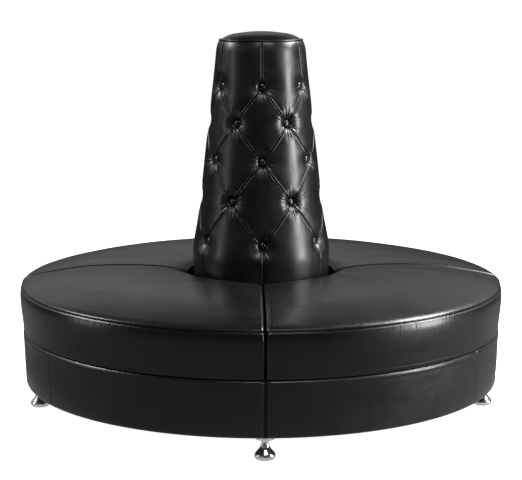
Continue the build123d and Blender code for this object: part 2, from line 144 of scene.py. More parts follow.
def makeFloor(look):
    # one wide square; what the camera sees of it is white, what the object mirrors is darker
    half = look["floorSize"] / 2
    mesh = bpy.data.meshes.new("floor")
    mesh.from_pydata([(-half, -half, 0), (half, -half, 0), (half, half, 0), (-half, half, 0)], [], [(0, 1, 2, 3)])
    floor = bpy.data.objects.new("floor", mesh)
    scene.collection.objects.link(floor)
    paper = bpy.data.materials.new("pale_floor")
    add = nodeTree(paper)
    place = add("ShaderNodeTexCoord").outputs["Object"]
    white = add("ShaderNodeBsdfDiffuse", {"Color": (*[look["floorWhite"]] * 3, 1)})
    glow = add("ShaderNodeEmission", {"Strength": look["floorGlow"]})
    aside = add("ShaderNodeSeparateXYZ", {0: place}).outputs["X"]
    tone = rescale(add, aside, -look["mirroredReach"], look["mirroredReach"], *look["mirroredTones"])
    away = add("ShaderNodeVectorMath", {0: place}, operation="LENGTH").outputs["Value"]
    pool = add("ShaderNodeEmission", {"Strength": rescale(add, away, *look["pool"], look["poolGlow"], 0.0)})
    mirrored = add("ShaderNodeAddShader", {0: add("ShaderNodeBsdfDiffuse", {"Color": tone}), 1: pool})
    seenAndMirrored(add, "ShaderNodeOutputMaterial", add("ShaderNodeAddShader", {0: white, 1: glow}), mirrored)
    mesh.materials.append(paper)


def makeBoxes(look):
    # rectangular lights, each turned to its aim and hidden from the camera
    for box in look["boxes"]:
        data = bpy.data.lights.new(box["name"], "AREA")
        data.shape = "RECTANGLE"
        data.size, data.size_y = box["size"]
        data.energy = box["power"]
        light = bpy.data.objects.new(box["name"], data)
        light.location = box["place"]
        light.rotation_mode = "QUATERNION"
        light.rotation_quaternion = (Vector(box["aim"]) - Vector(box["place"])).to_track_quat("-Z", "Y")
        light.visible_camera = False
        scene.collection.objects.link(light)


makeRoom(studio)
makeFloor(studio)
makeBoxes(studio)
print("studio lit")

# Leather: near black and half glossy, with a fine pebble and cloudy tones. Where the attribute "wearAndHighlight" is
# high it gets a lighter tone and lower roughness, partly wear and partly a painted highlight along the rolled edges
leatherLook = dict(
    dark=(0.0028, 0.0028, 0.003), pale=(0.0065, 0.0065, 0.007), wearAndHighlightTone=(0.02, 0.02, 0.021), ior=1.45,
    sheen=(0.30, 0.41), polish=-0.14,                   # roughness, and what full wear adds to it
    cloud=9, streak=(7, 90, 60), pebble=820, pebbleDepth=0.00009, crease=85, creaseDepth=0.0003,
)


def makeLeather(name, look, **changes):
    # tone from a cloudy noise, lighter where wear and painted highlight are marked, roughness from that noise and a
    # stretched one, and two bumps: creases under a pebble
    look = {**look, **changes}
    material = bpy.data.materials.new(name)
    add = nodeTree(material)
    place = add("ShaderNodeTexCoord").outputs["Object"]
    wearAndHighlight = add("ShaderNodeAttribute", attribute_name="wearAndHighlight").outputs["Fac"]
    cloud = add("ShaderNodeTexNoise", {"Vector": place, "Scale": look["cloud"], "Detail": 3.0})
    stretched = add("ShaderNodeMapping", {"Vector": place, "Scale": look["streak"]})
    streak = add("ShaderNodeTexNoise", {"Vector": stretched, "Scale": 1.0, "Detail": 2.0})
    # painted highlight and wear: the tone turns lighter where the vertex attribute is high, along rolled edges and
    # beads
    tone = mixTones(add, wearAndHighlight, mixTones(add, cloud, look["dark"], look["pale"]), look["wearAndHighlightTone"])
    half = add("ShaderNodeMath", {0: cloud, 1: 0.5}, operation="MULTIPLY")
    mean = add("ShaderNodeMath", {0: streak, 1: 0.5, 2: half}, operation="MULTIPLY_ADD")
    gloss = rescale(add, mean, 0.35, 0.65, *look["sheen"])
    polished = add("ShaderNodeMath", {0: wearAndHighlight, 1: look["polish"], 2: gloss}, operation="MULTIPLY_ADD")
    crease = add("ShaderNodeTexNoise", {"Vector": place, "Scale": look["crease"], "Detail": 3.0, "Distortion": 0.4})
    pebble = add("ShaderNodeTexVoronoi", {"Vector": place, "Scale": look["pebble"]}, feature="SMOOTH_F1")
    coarse = add("ShaderNodeBump", {"Height": crease, "Strength": 0.12, "Distance": look["creaseDepth"]})
    fine = add("ShaderNodeBump", {"Height": pebble, "Normal": coarse, "Strength": 0.15, "Distance": look["pebbleDepth"]})
    sockets = {"Base Color": tone, "Roughness": polished, "Normal": fine, "IOR": look["ior"]}
    add("ShaderNodeOutputMaterial", {0: add("ShaderNodeBsdfPrincipled", sockets)})
    return material


def makeMetal(name, color, roughness, scratch, smear=38.0, grain=900.0, dim=0.86, depth=0.00005):
    # a bare metal, smeared in tone and roughness by a soft noise, with a very fine bump
    material = bpy.data.materials.new(name)
    add = nodeTree(material)
    place = add("ShaderNodeTexCoord").outputs["Object"]
    cloud = add("ShaderNodeTexNoise", {"Vector": place, "Scale": smear, "Detail": 6.0})
    fine = add("ShaderNodeTexNoise", {"Vector": place, "Scale": grain, "Detail": 3.0})
    gloss = rescale(add, cloud, 0.3, 0.7, roughness, roughness + scratch)
    tone = mixTones(add, cloud, tuple(dim * part for part in color), color)
    rough = add("ShaderNodeBump", {"Height": fine, "Strength": 0.12, "Distance": depth})
    sockets = {"Base Color": tone, "Roughness": gloss, "Normal": rough, "Metallic": 1.0}
    add("ShaderNodeOutputMaterial", {0: add("ShaderNodeBsdfPrincipled", sockets)})
    return material


def makeStuff(name, dark, pale, scale, stretch, roughness, depth):
    # wood, foam, cloth and twine: two tones of a stretched noise, and the same noise as a bump
    material = bpy.data.materials.new(name)
    add = nodeTree(material)
    place = add("ShaderNodeTexCoord").outputs["Object"]
    stretched = add("ShaderNodeMapping", {"Vector": place, "Scale": stretch})
    grain = add("ShaderNodeTexNoise", {"Vector": stretched, "Scale": scale, "Detail": 8.0, "Distortion": 0.4})
    rough = add("ShaderNodeBump", {"Height": grain, "Strength": 0.4, "Distance": depth})
    sockets = {"Base Color": mixTones(add, grain, dark, pale), "Roughness": roughness, "Normal": rough}
    add("ShaderNodeOutputMaterial", {0: add("ShaderNodeBsdfPrincipled", sockets)})
    return material


seatLeather = makeLeather("seat_leather", leatherLook, sheen=(0.26, 0.34), pebbleDepth=0.00003, creaseDepth=0.00005)
baseLeather = makeLeather("base_leather", leatherLook, sheen=(0.30, 0.42), streak=(20, 20, 60))
columnLeather = makeLeather("column_leather", leatherLook, sheen=(0.27, 0.38), streak=(30, 30, 12), cloud=14)
buttonLeather = makeLeather("button_leather", leatherLook, sheen=(0.22, 0.32), cloud=60)
weltLeather = makeLeather("welt_leather", leatherLook, sheen=(0.28, 0.36), cloud=40)
chrome = makeMetal("chrome", (0.80, 0.80, 0.81), 0.14, 0.08)
steel = makeMetal("zinc_steel", (0.56, 0.57, 0.58), 0.28, 0.12)
plywood = makeStuff("birch_plywood", (0.34, 0.22, 0.12), (0.56, 0.40, 0.24), 9.0, (1.0, 6.0, 30.0), 0.6, 0.0003)
# stained plywood; on the seat and deck boards it also paints shade into the gaps under and between the cushions
wellPlywood = makeStuff("stained_plywood", (0.012, 0.011, 0.010), (0.03, 0.028, 0.026), 9.0, (6, 6, 1), 0.6, 0.0003)
# painted shade: a near-black, fully rough sheet on the outer skin, so the open seams between the wall panels read as a
# dark shadow
paintedShadeLining = makeStuff("painted_shade_lining", (0.0006, 0.0006, 0.0006), (0.002, 0.002, 0.002), 700.0, (1, 1, 1), 1.0, 0.0002)
blackCloth = makeStuff("black_under_cloth", (0.006, 0.006, 0.006), (0.02, 0.02, 0.02), 500.0, (1, 1, 1), 0.9, 0.0003)
foamStuff = makeStuff("seat_foam", (0.50, 0.44, 0.30), (0.66, 0.60, 0.44), 260.0, (1, 1, 1), 0.95, 0.0008)
twineStuff = makeStuff("waxed_twine", (0.30, 0.26, 0.19), (0.48, 0.43, 0.33), 700.0, (1, 1, 1), 0.8, 0.0003)
print("materials mixed")


# Mesh tools: everything below is worked out in millimetres and written in metres
def gridQuads(rows, columns, closeRows=False, closeColumns=False, first=0):
    # corner numbers of the quads between the points of a rows x columns grid
    i = np.arange(rows if closeRows else rows - 1)[:, None]
    j = np.arange(columns if closeColumns else columns - 1)[None, :]
    up, on = (i + 1) % rows, (j + 1) % columns
    corners = (i * columns + j, i * columns + on, up * columns + on, up * columns + j)
    return np.stack([c.ravel() for c in np.broadcast_arrays(*corners)], 1) + first


def makePiece(name, points, quads, material, body, wearAndHighlight=None, weld=0.01):
    # a mesh object from points and quads, with the doubles merged and the faces turned outwards
    mesh = bpy.data.meshes.new(name)
    mesh.vertices.add(len(points))
    mesh.vertices.foreach_set("co", (np.asarray(points) * mm).astype(np.float32).ravel())
    mesh.loops.add(quads.size)
    mesh.loops.foreach_set("vertex_index", quads.astype(np.int32).ravel())
    mesh.polygons.add(len(quads))
    mesh.polygons.foreach_set("loop_start", np.arange(0, quads.size, 4, dtype=np.int32))
    mesh.update(calc_edges=True)
    # the per-point share of wear and painted highlight, read by the leather to lighten its tone and lower its roughness
    if wearAndHighlight is not None:
        mesh.attributes.new("wearAndHighlight", "FLOAT", "POINT").data.foreach_set("value", np.asarray(wearAndHighlight, np.float32).ravel())
    build = bmesh.new()
    build.from_mesh(mesh)
    bmesh.ops.remove_doubles(build, verts=build.verts, dist=weld * mm)
    bmesh.ops.recalc_face_normals(build, faces=build.faces)
    build.to_mesh(mesh)
    build.free()
    mesh.polygons.foreach_set("use_smooth", np.ones(len(mesh.polygons), bool))
    mesh.update()
    piece = bpy.data.objects.new(name, mesh)
    scene.collection.objects.link(piece)
    mesh.materials.append(material)
    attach(piece, body)
    return piece


def smooth(x, low, high):
    # 0 below low, 1 above high and 3t^2 - 2t^3 between
    t = np.clip((x - low) / (high - low), 0, 1)
    return t * t * (3 - 2 * t)


def bump(x, place, width):
    # bell of height 1 at a place: e to the minus square of the distance in widths
    return np.exp(-(((x - place) / width) ** 2))


def ripple(x, pitch, seed, waves=7):
    # sum of sines with wavelengths near the pitch and seeded phases, about -1 to 1
    draw = np.random.RandomState(seed)
    total = np.zeros_like(x, dtype=float)
    for _ in range(waves):
        length = pitch * draw.uniform(0.6, 1.9)
        total += draw.uniform(0.5, 1.0) * np.sin(2 * np.pi * x / length + draw.uniform(0, 2 * np.pi))
    return total / math.sqrt(waves)


def ridge(x, edge, shape):
    # a bell of shape (height, place past the edge, width); below zero it is a groove
    rise, place, width = shape
    return rise * bump(x, edge + place, width)


def rollIn(distance, radius):
    # how far a quarter circle draws a face in: radius less the root of (radius squared less the distance left squared)
    left = radius - np.minimum(distance, radius)
    return radius - np.sqrt(np.maximum(radius**2 - left**2, 0))


def runOf(path):
    # length along a path up to each of its points
    return np.concatenate([[0], np.cumsum(np.linalg.norm(np.diff(path, axis=0), axis=1))])


def circle(count):
    # angles once round, the last step left open
    return np.linspace(0, 2 * np.pi, count, endpoint=False)


def turned(r, z, angle):
    # points turned about the upright axis: r times cosine, r times sine, and the height
    return np.stack(np.broadcast_arrays(r * np.cos(angle), r * np.sin(angle), z), -1)


def through(points, steps):
    # natural cubic spline through points by chord length, sampled evenly in its parameter
    points = np.asarray(points, float)
    t = np.concatenate([[0], np.cumsum(np.hypot(*np.diff(points, axis=0).T))])
    h, n = np.diff(t), len(points)
    system = np.eye(n)
    for k in range(1, n - 1):
        system[k, k - 1 : k + 2] = h[k - 1], 2 * (h[k - 1] + h[k]), h[k]
    slopes = np.diff(points, axis=0) / h[:, None]
    right = np.zeros_like(points)
    right[1:-1] = 6 * np.diff(slopes, axis=0)
    bend = np.linalg.solve(system, right)
    x = np.linspace(0, t[-1], steps)
    k = np.clip(np.searchsorted(t, x) - 1, 0, n - 2)
    a, b, step = (t[k + 1] - x)[:, None], (x - t[k])[:, None], h[k][:, None]
    return (
        (bend[k] * a**3 + bend[k + 1] * b**3) / (6 * step)
        + (points[k] / step - bend[k] * step / 6) * a
        + (points[k + 1] / step - bend[k + 1] * step / 6) * b
    )


def spaced(path, count, dense=()):
    # the path's points again, count of them, closer together where dense = (place along it, reach, times)
    path = np.asarray(path, float)
    run = runOf(path)
    fine = np.linspace(0, run[-1], 4000)
    weight = np.ones_like(fine)
    for place, reach, times in dense:
        weight += times * bump(fine, place if place >= 0 else run[-1] + place, reach)
    total = np.concatenate([[0], np.cumsum((weight[1:] + weight[:-1]) / 2)])
    at = np.interp(np.linspace(0, total[-1], count), total, fine)
    return np.stack([np.interp(at, run, path[:, k]) for k in range(path.shape[1])], 1)


# Cloth: stuffed pieces are blown up on a coarse grid with their seams held, and the swelling is laid on the fine grid
clothLook = dict(frames=20, quality=5, bending=6)
heldBelow = 0.02         # points freer than this share move


def swell(points, quads, held, look):
    # how far Blender's cloth moves each point in millimetres, never more than the cap
    look = {**clothLook, **look["cloth"]}
    points = points.reshape(-1, 3)
    mesh = bpy.data.meshes.new("swelling")
    mesh.from_pydata((points * mm).tolist(), [], quads.tolist())
    pad = bpy.data.objects.new("swelling", mesh)
    scene.collection.objects.link(pad)
    pad.vertex_groups.new(name="held").add(np.flatnonzero(held).tolist(), 1.0, "REPLACE")
    a, b, c, d = (points[quads[:, k]] for k in range(4))
    volume = ((a + b + c + d - 4 * points.mean(0)) * np.cross(c - a, d - b)).sum()
    cloth = pad.modifiers.new("cloth", "CLOTH")
    rules = cloth.settings
    rules.quality, rules.mass = look["quality"], look["mass"]
    rules.tension_stiffness = rules.compression_stiffness = rules.shear_stiffness = look["tension"]
    rules.bending_stiffness = look["bending"]
    rules.use_pressure, rules.uniform_pressure_force = True, math.copysign(look["pressure"], volume)
    rules.effector_weights.gravity = 0
    rules.vertex_group_mass = "held"
    cloth.point_cache.frame_start, cloth.point_cache.frame_end = 1, look["frames"]
    for frameNumber in range(1, look["frames"] + 1):
        scene.frame_set(frameNumber)
    shown = pad.evaluated_get(bpy.context.evaluated_depsgraph_get())
    after = np.empty(points.size)
    shown.data.vertices.foreach_get("co", after)
    moved = after.reshape(-1, 3) / mm - points
    bpy.data.objects.remove(pad)
    bpy.data.meshes.remove(mesh)
    scene.frame_set(1)
    size = np.linalg.norm(moved, axis=1)[:, None]
    return moved * np.minimum(1, look["cap"] / np.maximum(size, 1e-9))


def spread(at, count, closed, step):
    # matrix that takes values at some rows of the fine grid to all its rows, then averages thrice over the step
    fine = np.arange(count)
    line = np.stack([np.interp(fine, at, row, period=count if closed else None) for row in np.eye(len(at))], 1)
    for _ in range(3):
        shifts = [line[(fine - k) % count if closed else np.clip(fine - k, 0, count - 1)] for k in range(-step, step + 1)]
        line = sum(shifts) / len(shifts)
    return line


def report(piece, change, free):
    # prints how far the free part of a piece has swollen
    print(piece, "swollen by", np.percentile(change[free > 0.5], (1, 25, 50, 75, 99)).round(2), "mm")


# Seat cushions: each a quarter ring of leather, pulled tight over foam and sewn round the rim
seatLook = dict(
    lowRadius=820, rimRadius=826, wellRadius=258, low=254, rimSeam=402, crown=54, gap=3.2,
    boxing=((0, 0), (0.27, 4.2), (0.55, 8.6), (0.76, 9.8), (0.91, 8.2), (1, 5)),     # (share of the way up, out)
    dome=((0.006, 0.13), (0.020, 0.235), (0.045, 0.33), (0.085, 0.43), (0.163, 0.58), (0.306, 0.83), (0.521, 1.0),
          (0.880, 0.94)),                                # (share of the way to the well, share of the crown)
    wellShare=0.574, lowRoll=8, endRoll=11, wellRoll=6,
    steps=dict(dome=160, brow=30, roll=12, side=60, half=130, across=360, endRoll=9, endZone=17), endZone=70,
    seamDense=((14, 6), (4, 9)), edgeDense=(8, 26, 5), underDense=((95, 14, 3), (-70, 16, 6)),   # closer steps there
    # grooves and beads: (height, place, width)
    rimShape=((-4.6, 0, 2.9), (1.04, 6, 4.56), (0.91, -4.2, 2.66)), endShape=((-1.5, 1.5, 1.8), (0.5, -4, 4)),
    wellShape=((1.0, -5, 4), (-1.4, -13, 2)), lowShape=(0.6, 11, 2.6),
    puckerRise=0.55, puckerPitch=15, puckerReach=17, puckerLean=(0.12, -0.18), puckerPatch=260,
    cornerPucker=2.2, cornerPuckerReach=26, cornerFold=1.1, foldPitch=6.5, foldReach=10,
    sway=0.9, swayPitch=(340, 300), cornerDrop=17, cornerReach=58, cornerRound=15, cornerRoundReach=(17, 24),
    # wear and painted highlight: a lighter, smoother band along the end rolls, the rim seam and the well edge
    wearAndHighlightEnd=0.08, wearAndHighlightRim=0.12, wearAndHighlightWell=0.25, wearAndHighlightPitch=90,
    slack=3, cloth=dict(pressure=10, mass=0.1, tension=80, bending=20, cap=9), coarse=4, coarseAcross=97,
    growth=(-1, 2.5), evened=(4, 7), capRings=14, seeds=(40, 50, 60, 70),
    body=("front_half", "rear_half", "rear_half", "front_half"),
    names=("front_right", "rear_right", "rear_left", "front_left"),
)


def seatSection(look):
    # closed loop in (radius, height): rim seam, over the dome to the well, down the well wall, under and up the boxing
    rim = np.array([look["rimRadius"], look["rimSeam"]])
    width, crown, steps = look["rimRadius"] - look["wellRadius"], look["crown"], look["steps"]
    dome = [rim] + [rim + (-a * width, u * crown) for a, u in look["dome"]]
    brow, edge = dome[-1], np.array([look["wellRadius"], rim[1] + look["wellShare"] * crown])
    corner = np.array([edge[0], brow[1]])
    t = np.linspace(0, 1, steps["brow"])[1:, None]
    roll = (1 - t) ** 2 * brow + 2 * t * (1 - t) * corner + t**2 * edge
    over = np.vstack([through(dome, steps["dome"]), roll])
    turn = np.linspace(0, np.pi / 2, steps["roll"])[:, None]
    small, big, low = look["wellRoll"], look["lowRoll"], look["low"]
    inner = np.array([edge[0] + small, low + small]) + small * np.hstack([-np.cos(turn), -np.sin(turn)])
    outer = np.array([look["lowRadius"] - big, low + big]) + big * np.hstack([np.sin(turn), -np.cos(turn)])
    side = through([outer[-1] + (out, up * (rim[1] - outer[-1][1])) for up, out in look["boxing"]], steps["side"])
    middle = np.array([edge[0], (low + edge[1]) / 2])
    start = np.argmin(abs(side[:, 1] - (low + look["rimSeam"]) / 2))
    top = np.vstack([side[start:-1], over, [middle]])
    under = np.vstack([[middle], inner, outer, side[1 : start + 1]])
    seam = np.linalg.norm(np.diff(side[start:], axis=0), axis=1).sum()
    well = seam + np.linalg.norm(np.diff(over, axis=0), axis=1).sum()
    before, reach, times = look["edgeDense"]
    dense = [(seam, *wide) for wide in look["seamDense"]] + [(seam + 60, 40, 1), (well - before, reach, times)]
    top = spaced(top, steps["half"] + 1, dense)
    under = spaced(under, steps["half"] + 1, look["underDense"])
    return np.vstack([top[:-1], under[:-1]]), seam, well - seam


def seatPoints(look, seed, slack=None):
    # grid of section loop x places across the quarter, plain and drawn in by the slack where one is given
    loop, seam, wellEdge = seatSection(look)
    count = len(loop)
    ahead, behind = np.roll(loop, -1, 0), np.roll(loop, 1, 0)
    along = (ahead - behind) / np.linalg.norm(ahead - behind, axis=1)[:, None]
    normal = np.stack([along[:, 1], -along[:, 0]], 1)
    s = (runOf(loop) - seam)[:, None]              # along the section from the rim seam, above zero on the dome
    radius, height = loop[:, :1], loop[:, 1:]
    isTop = smooth(height, look["rimSeam"] - 30, look["rimSeam"] + 4)
    lowRoll = look["lowRoll"] * 0.6
    roll = lowRoll + (look["endRoll"] - lowRoll) * isTop
    # distance from the end faces, in constant steps near them and by angle between
    zone, steps = look["endZone"], look["steps"]
    near = np.linspace(0, 1, steps["endRoll"]) ** 1.6 * look["endRoll"]
    near = np.concatenate([near, np.linspace(look["endRoll"], zone, steps["endZone"])[1:]])
    inside = steps["across"] - 2 * len(near)
    first = np.arcsin((look["gap"] + near[None, :]) / radius)
    share = (np.arange(inside) + 1) / (inside + 1)
    low, high = first[:, -1:], np.pi / 2 - first[:, -1:]
    angle = np.hstack([first, low + share * (high - low), np.pi / 2 - first[:, ::-1]])
    edge = np.minimum(angle, np.pi / 2 - angle)
    distance = np.maximum(radius * np.sin(edge) - look["gap"], 0)
    # grooves and beads along the rim seam, beside each end roll, round the well and above the base
    rise = sum(ridge(s, 0, shape) for shape in look["rimShape"]) * smooth(distance, 0, 5)
    rise = rise + sum(ridge(distance, look["endRoll"], shape) for shape in look["endShape"]) * isTop
    rise = rise + sum(ridge(s, wellEdge, shape) for shape in look["wellShape"]) * smooth(distance, 3, 14)
    lowEdge = (radius > look["lowRadius"] - 30) * smooth(distance, 3, 12)
    rise = rise + ridge(height, look["low"], look["lowShape"]) * lowEdge
    # puckers run across the rim seam and grow near the corners
    arc = angle * look["rimRadius"]
    fade = np.exp(-abs(s) / look["puckerReach"]) * smooth(distance, 2, 20)
    corner = 1 + look["cornerPucker"] * np.exp(-distance / look["cornerPuckerReach"])
    leanAbove, leanBelow = look["puckerLean"]
    above = ripple(arc + leanAbove * s, look["puckerPitch"], seed)
    below = ripple(arc + leanBelow * s, look["puckerPitch"] * 1.2, seed + 1)
    patch = 0.35 + 0.65 * smooth(ripple(arc, look["puckerPatch"], seed + 2), -0.4, 0.9)
    rise = rise + look["puckerRise"] * fade * corner * patch * np.where(s > 0, 0.5 * above, below)
    fold = np.cos(2 * np.pi * (s + 1) / look["foldPitch"]) * bump(distance, 8, 6) * np.exp(-abs(s) / look["foldReach"])
    rise = rise + look["cornerFold"] * fold
    # long slow unevenness of the foam
    soft = smooth(height, look["low"] + 10, look["low"] + 60) * smooth(distance, 0, 60)
    roundPitch, inwardPitch = look["swayPitch"]
    sway = ripple(arc + 0.7 * radius, roundPitch, seed + 3) * ripple(radius + 0.2 * arc, inwardPitch, seed + 4)
    rise = rise + look["sway"] * soft * sway
    # the share of each point that the stuffing may swell
    free = smooth(abs(s), 4, 50) * smooth(height, look["low"] + 12, look["low"] + 50) * smooth(distance, 8, 50)
    if slack is not None:
        rise = -slack * free
    reach = rise - rollIn(distance, roll)
    rr = radius + normal[:, :1] * reach
    out = radius - look["wellRadius"]
    drop = np.exp(-((distance / look["cornerReach"]) ** 1.4)) * np.exp(-((out / look["cornerReach"]) ** 1.4))
    drop = look["cornerDrop"] * drop * smooth(height, look["low"] + 60, look["low"] + 150)
    alongEnd, intoWell = look["cornerRoundReach"]
    rr = rr + look["cornerRound"] * np.exp(-((distance / alongEnd) ** 1.5)) * np.exp(-out / intoWell)
    zz = np.maximum(height + normal[:, 1:] * reach - drop, look["low"])
    # the end planes stay planes, so the angle follows the radius near them
    byEnd = np.arcsin((distance + look["gap"]) / rr)
    angle = np.where(distance < zone, np.where(angle < np.pi / 4, byEnd, np.pi / 2 - byEnd), angle)
    x, y = rr * np.sin(angle), -rr * np.cos(angle)
    body = np.stack([x, y, zz + 0 * x], 2)         # (loop, across, 3)
    if slack is not None:
        return body, free
    # wear and painted highlight: the end roll, the bead beside the rim seam and the well edge are lightened in tone so
    # they read as catching light
    wearAndHighlight = look["wearAndHighlightEnd"] * bump(distance, look["endRoll"] * 0.4, 4) * isTop
    wearAndHighlight = wearAndHighlight + look["wearAndHighlightRim"] * bump(s, 10, 8) + look["wearAndHighlightWell"] * bump(s, wellEdge - 4, 4)
    wearAndHighlight = wearAndHighlight * (0.5 + 0.5 * ripple(arc + radius, look["wearAndHighlightPitch"], seed + 5))
    return body, np.clip(wearAndHighlight, 0, 1), count


def closeEnd(ring, rings, push):
    # rings that shrink from a loop to its middle line, matched top to bottom, pushed out a little
    across = (-np.arange(len(ring))) % len(ring)
    spine = (ring + ring[across]) / 2
    share = (np.arange(1, rings + 1) / rings)[:, None, None]
    layers = ring[None] * (1 - share) + spine[None] * share
    return layers + push * (share * (2 - share))


def seatSwelling(look):
    # one quarter blown up by the cloth, from a shape drawn in by the slack
    plain, free = seatPoints(look, 0, 0)
    start, _ = seatPoints(look, 0, look["slack"])
    count, across = plain.shape[:2]
    rows = np.arange(0, count, look["coarse"])
    columns = np.unique(np.round(np.linspace(0, across - 1, look["coarseAcross"])).astype(int))
    pick = np.ix_(rows, columns)
    quads = gridQuads(len(rows), len(columns), closeRows=True)
    moved = swell(start[pick], quads, free[pick].ravel() < heldBelow, look).reshape(len(rows), len(columns), 3)
    slack = plain[pick] - start[pick]
    size = np.linalg.norm(slack, axis=2)
    outward = slack / np.maximum(size, 1e-3)[..., None]
    grown = (moved * outward).sum(2) - size * (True)
    report("seat", grown, free[pick])
    change = outward * np.clip(grown, *look["growth"])[..., None]
    roundLoop, acrossQuarter = look["evened"]
    down, along = spread(rows, count, True, roundLoop), spread(columns, across, False, acrossQuarter)
    return np.einsum("ri,cj,ijk->rck", down, along, change) * free[..., None]


def makeSeat(look, turns, swelling):
    # one quarter, its ends closed by shrinking rings, turned to its place by whole quarter turns
    name = look["names"][turns]
    body, wearAndHighlight, count = seatPoints(look, look["seeds"][turns])
    body = body + swelling
    across = body.shape[1]
    startRings = closeEnd(body[:, 0], look["capRings"], np.array([-1.0, 0, 0]))
    endRings = closeEnd(body[:, -1], look["capRings"], np.array([0, 1.0, 0]))
    columns = np.concatenate([startRings[::-1], body.transpose(1, 0, 2), endRings], 0)
    wearAndHighlightAll = np.zeros(columns.shape[:2])
    wearAndHighlightAll[look["capRings"] : look["capRings"] + across] = wearAndHighlight.T
    angle = turns * np.pi / 2
    cos, sin = round(math.cos(angle)), round(math.sin(angle))
    x, y = columns[..., 0].copy(), columns[..., 1].copy()
    columns[..., 0], columns[..., 1] = cos * x - sin * y, sin * x + cos * y
    quads = gridQuads(len(columns), count, closeColumns=True)
    piece = makePiece(f"{name}_cushion", columns.reshape(-1, 3), quads, seatLeather, look["body"][turns], wearAndHighlightAll)
    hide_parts(f"{name}_seat_cover", f"{name}_seat_foam")


seatSwollen = seatSwelling(seatLook)
for quarter in range(4):
    makeSeat(seatLook, quarter, seatSwollen)
print("seats stuffed")

# Base: leather panels round the wall of each half, rolled over its edges
baseLook = dict(
    radius=815, flare=7, low=74, top=254, roll=8, topRoll=12, hem=12, thick=2, endFace=0.6, seamGap=2.9, coverAngle=33,
    # wearAndHighlightTop: wear and a painted highlight, a lighter tone along the top bead
    butt=0.3, cornerRadius=14, wellEnd=266, seamRoll=10, sway=0.5, swayPitch=(260, 130), wearAndHighlightTop=0.6, wearAndHighlightPitch=70,
    wallSeed=300, wrapSeed=330, steps=dict(roll=10, wall=26, round=190, wrap=90, corner=25, face=69),
    wallEase=((0, 1.2, 14), (-0.01, 0.6, 8)), wrapEase=((0, 0.6, 8),),      # closer steps: (place, reach, times), degrees
    # grooves and beads: (height, place, width)
    topShape=((0.7, -7, 4), (-0.6, -17, 3)), seamShape=((-0.9, 10, 1.3), (0.4, 5, 2.5)),
    flatShape=((-0.9, 0, 1.2), (0.25, 3.5, 2)),
)


def baseSection(look):
    # (offset out from the base's face, height): hem, roll, wall, roll, hem
    low, top, roll, high, hem = look["low"], look["top"], look["roll"], look["topRoll"], look["hem"]
    t = np.linspace(0, np.pi / 2, look["steps"]["roll"])
    lower = np.stack([-roll + roll * np.sin(t), low + roll - roll * np.cos(t)], 1)
    upper = np.stack([-high + high * np.cos(t), top - high + high * np.sin(t)], 1)
    up = np.linspace(low + roll, top - high, look["steps"]["wall"] + 2)[1:-1]
    wall = np.stack([0 * up, up], 1)
    return np.vstack([[[-hem - roll, low]], lower, wall, upper, [[-hem - roll, top]]])


def basePanel(name, path, out, flare, look, body, node, seed, edges):
    # the section carried along a path in plan, with a wall of the leather's thickness
    section = baseSection(look)
    height = section[:, 1]
    rise = (height - look["low"]) / (look["top"] - look["low"])
    offset = section[:, 0][None, :] + flare[:, None] * look["flare"] * rise[None, :]
    run = runOf(path)[:, None]
    wall = smooth(height, look["low"] + 12, look["low"] + 40) * smooth(-height, -look["top"] + 8, -look["top"] + 30)
    alongPitch, upPitch = look["swayPitch"]
    slow = ripple(run + 0.5 * height, alongPitch, seed) * ripple(height + 0.1 * run, upPitch, seed + 1)
    bead = sum(ridge(height, look["top"], shape) for shape in look["topShape"])
    relief = look["sway"] * wall * slow + bead * (section[:, 0] > -look["roll"] * 0.9)
    for distance, kind in ((run, edges[0]), (run[-1] - run, edges[1])):
        if kind == "seam":     # turned in at the open front seam, with a sewn line beside it
            relief = relief - rollIn(distance, look["seamRoll"])
            relief = relief + sum(ridge(distance, 0, shape) for shape in look["seamShape"])
        if kind == "flat":     # butted against the next panel
            relief = relief + sum(ridge(distance, 0, shape) for shape in look["flatShape"])
    tangent = np.gradient(section, axis=0)
    tangent /= np.linalg.norm(tangent, axis=1)[:, None]
    shapes = []
    for inset in (0, look["thick"]):
        push = relief - inset
        o = offset + tangent[:, 1][None, :] * push
        z = np.clip(height - tangent[:, 0] * push, look["low"] + inset, look["top"] - inset)
        xy = path[:, None, :] + out[:, None, :] * o[..., None]
        shapes.append(np.concatenate([xy, z[..., None] + 0 * xy[..., :1]], 2))
    outer, inner = shapes
    ring = np.concatenate([outer, inner[:, ::-1]], 1)
    rows, columns = ring.shape[:2]
    quads = [gridQuads(rows, columns, closeColumns=True)]
    half = outer.shape[1]
    k = np.arange(half - 1)
    for row in (0, rows - 1):
        a = row * columns
        quads.append(np.stack([a + k, a + k + 1, a + columns - 2 - k, a + columns - 1 - k], 1))
    # wear and painted highlight: the top bead is lightened in tone, in patches
    wearAndHighlight = np.zeros((rows, columns))
    patch = 0.6 + 0.4 * ripple(run + 0 * height, look["wearAndHighlightPitch"], seed + 2)
    wearAndHighlight[:, :half] = look["wearAndHighlightTop"] * bump(height, look["top"] - 4, 5) * patch
    piece = makePiece(name, ring.reshape(-1, 3), np.vstack(quads), baseLeather, body, np.clip(wearAndHighlight, 0, 1))
    if node:
        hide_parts(node)


def arcPath(look, start, stop, steps, ease):
    # points round the base between two angles in degrees, the way out at each, and the full flare
    turn = np.radians(spaced(np.array([[start, 0.0], [stop, 0.0]]), steps, ease)[:, 0])
    out = np.stack([np.cos(turn), np.sin(turn)], 1)
    return out * look["radius"], out, np.ones(steps)


